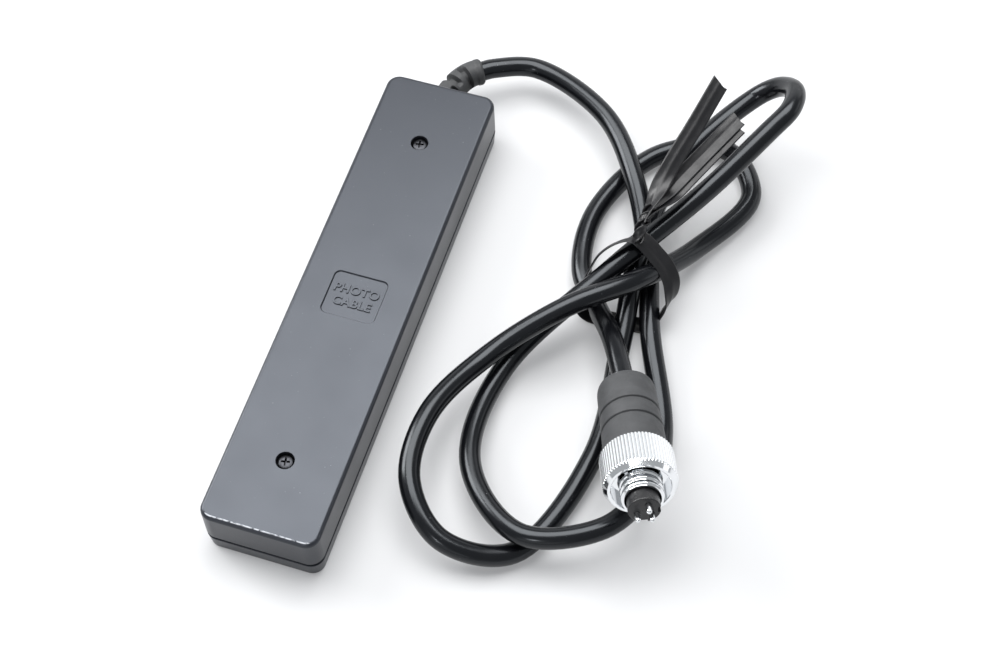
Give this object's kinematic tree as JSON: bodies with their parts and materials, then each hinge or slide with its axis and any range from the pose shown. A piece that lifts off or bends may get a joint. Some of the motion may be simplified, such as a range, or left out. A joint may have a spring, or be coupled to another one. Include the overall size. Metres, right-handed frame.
{
  "type": "cable shutter release",
  "caption": "Slim black handset with a release button set in a lock slider, a thin cord bundled by a wire tie, and a small round plug with a knurled chrome locking collar.",
  "frame": {"origin": "middle of the front cover's outer face, the face with the button; the handset lies on it", "axes": "+Z out of the rear cover, +Y along the handset towards the cord, +X to the right seen from above, the side the cord is bundled on"},
  "size_m": [0.0804, 0.1206, 0.0282],
  "materials": {
    "shell": "satin",
    "button_plastic": "satin",
    "insulator_plastic": "satin",
    "grey_rubber": "matt",
    "cord_vinyl": "glossy",
    "tie_vinyl": "satin",
    "chrome": "polished",
    "zinc_steel": "satin",
    "black_steel": "satin",
    "brass": "satin",
    "phenolic": "matt",
    "wire_black": "glossy",
    "wire_red": "glossy",
    "wire_white": "glossy"
  },
  "bodies": {
    "handset": {"rear_cover": "shell", "front_cover": "shell", "cover_screw_cord_end": "black_steel", "cover_screw_tail_end": "black_steel", "contact_base": "phenolic", "common_tag": "brass", "stack_spacer_lower": "phenolic", "half_press_tag": "brass", "stack_spacer_upper": "phenolic", "full_press_leaf": "brass", "stack_screw_left": "zinc_steel", "stack_screw_right": "zinc_steel", "strain_relief": "grey_rubber", "cable_stub": "cord_vinyl", "cable_clamp": "zinc_steel", "clamp_screw_left": "zinc_steel", "clamp_screw_right": "zinc_steel", "wire_common": "wire_black", "wire_half_press": "wire_red", "wire_full_press": "wire_white", "cord": "cord_vinyl", "tie_band": "tie_vinyl", "tie_knot": "tie_vinyl", "tie_tail_single": "tie_vinyl", "tie_tail_double": "tie_vinyl", "plug_boot": "grey_rubber", "plug_barrel": "chrome", "plug_insulator": "insulator_plastic", "plug_pin_common": "chrome", "plug_pin_half_press": "chrome", "plug_pin_full_press": "chrome"},
    "lock_slider": {"lock_slider": "button_plastic"},
    "release_button": {"release_button": "button_plastic", "return_spring": "zinc_steel"},
    "common_blade": {"common_blade": "brass"},
    "half_press_blade": {"half_press_blade": "brass"},
    "plug_collar": {"plug_collar": "chrome"}
  },
  "joints": [
    {"name": "lock_slide", "type": "slide", "parent": "handset", "child": "lock_slider", "axis": [0, 1, 0], "range_m": [0, 0.003]},
    {"name": "button_press", "type": "slide", "parent": "lock_slider", "child": "release_button", "axis": [0, 0, 1], "range_m": [0, 0.0016], "stiffness_N_per_m": 500, "springref_m": -0.001, "deforming": ["return_spring"]},
    {"name": "common_flex", "type": "hinge", "parent": "handset", "child": "common_blade", "pos_m": [0, -0.006, 0.00605], "axis": [1, 0, 0], "range_deg": [0, 5.8]},
    {"name": "half_flex", "type": "hinge", "parent": "handset", "child": "half_press_blade", "pos_m": [0, -0.006, 0.00755], "axis": [1, 0, 0], "range_deg": [0, 3]},
    {"name": "collar_slide", "type": "slide", "parent": "handset", "child": "plug_collar", "axis": [-0.3499, 0.8808, -0.3189], "range_m": [0, 0.0015], "stiffness_N_per_m": 400, "springref_m": -0.001}
  ],
  "couplings": [
    {"joint": "common_flex", "follows": "button_press", "rad_per_m": 62.5},
    {"joint": "half_flex", "follows": "button_press", "rad_per_m": 32.5}
  ]
}
